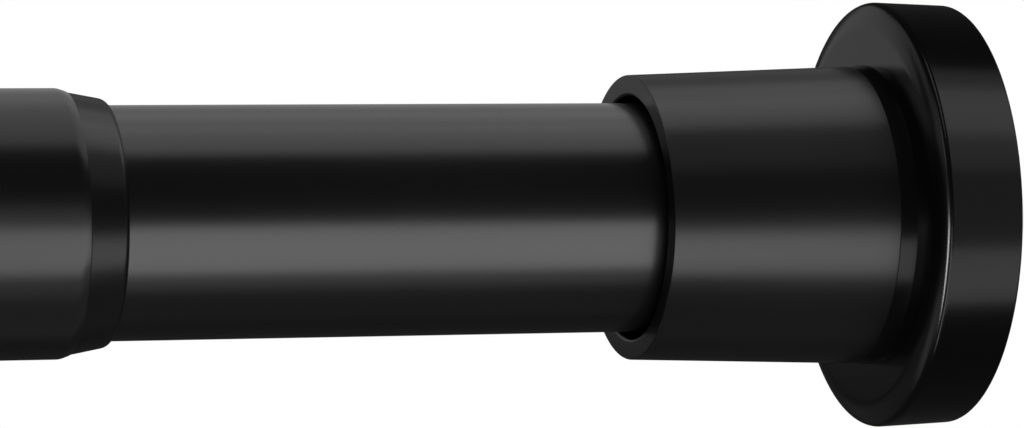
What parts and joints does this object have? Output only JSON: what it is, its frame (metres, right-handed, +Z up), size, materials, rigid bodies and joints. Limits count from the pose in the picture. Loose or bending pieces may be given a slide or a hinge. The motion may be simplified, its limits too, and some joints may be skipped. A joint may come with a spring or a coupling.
{
  "type": "spring tension rod",
  "caption": "Telescopic spring tension rod with a twist lock, stepped round tubes, tapered sleeves and padded round feet that press against facing walls.",
  "frame": {"origin": "centre of the left wall face, where the fixed foot's pad meets the wall", "axes": "+X along the rod from the fixed foot to the sprung foot, +Z up"},
  "size_m": [0.46, 0.0414, 0.0414],
  "materials": {
    "black_powder_coat": "satin powder coat",
    "black_satin_plastic": "satin moulded",
    "black_gloss_plastic": "semi-gloss moulded",
    "black_rubber": "matte",
    "natural_plastic": "natural moulded",
    "zinc_steel": "bright zinc plated",
    "spring_steel": "drawn wire"
  },
  "bodies": {
    "fixed_body": {"outer_tube": "black_powder_coat", "tube_collar": "black_satin_plastic", "fixed_end_plug": "natural_plastic", "fixed_foot_sleeve": "black_satin_plastic", "fixed_foot_flange": "black_gloss_plastic", "fixed_foot_pad": "black_rubber", "fixed_foot_screw": "zinc_steel", "fixed_foot_washer": "zinc_steel"},
    "jaw_body": {"lock_jaw": "natural_plastic"},
    "drawn_body": {"inner_tube": "black_powder_coat", "guide_bush": "natural_plastic", "guide_bush_pins": "zinc_steel", "spring_stop_plug": "natural_plastic", "foot_spring": "spring_steel", "lock_plug": "natural_plastic", "lock_plug_pins": "zinc_steel", "lock_spindle": "zinc_steel", "lock_thrust_washer": "zinc_steel", "lock_end_nut": "zinc_steel"},
    "cone_body": {"lock_cone": "natural_plastic"},
    "spring_washer_body": {"spring_washer": "zinc_steel"},
    "foot_body": {"plunger_rod": "zinc_steel", "plunger_clip": "spring_steel", "sprung_foot_sleeve": "black_satin_plastic", "sprung_foot_flange": "black_gloss_plastic", "sprung_foot_pad": "black_rubber", "sprung_foot_screw": "zinc_steel", "sprung_foot_washer": "zinc_steel"}
  },
  "joints": [
    {"name": "telescope_slide", "type": "slide", "parent": "fixed_body", "child": "jaw_body", "axis": [1, 0, 0], "range_m": [-0.036, 0.15]},
    {"name": "tube_twist", "type": "hinge", "parent": "jaw_body", "child": "drawn_body", "pos_m": [0.2077, 0, 0], "axis": [1, 0, 0], "range_deg": [0, 540]},
    {"name": "cone_slide", "type": "slide", "parent": "jaw_body", "child": "cone_body", "axis": [1, 0, 0], "range_m": [-0.0023, 0]},
    {"name": "foot_spring_slide", "type": "slide", "parent": "drawn_body", "child": "spring_washer_body", "axis": [1, 0, 0], "range_m": [-0.012, 0], "stiffness_N_per_m": 4230, "springref_m": 0.0083, "deforming": ["foot_spring"]},
    {"name": "foot_swivel", "type": "hinge", "parent": "spring_washer_body", "child": "foot_body", "pos_m": [0.42, 0, 0], "axis": [1, 0, 0], "continuous": true}
  ],
  "couplings": [
    {"joint": "cone_slide", "follows": "tube_twist", "m_per_rad": -0.00023873}
  ]
}
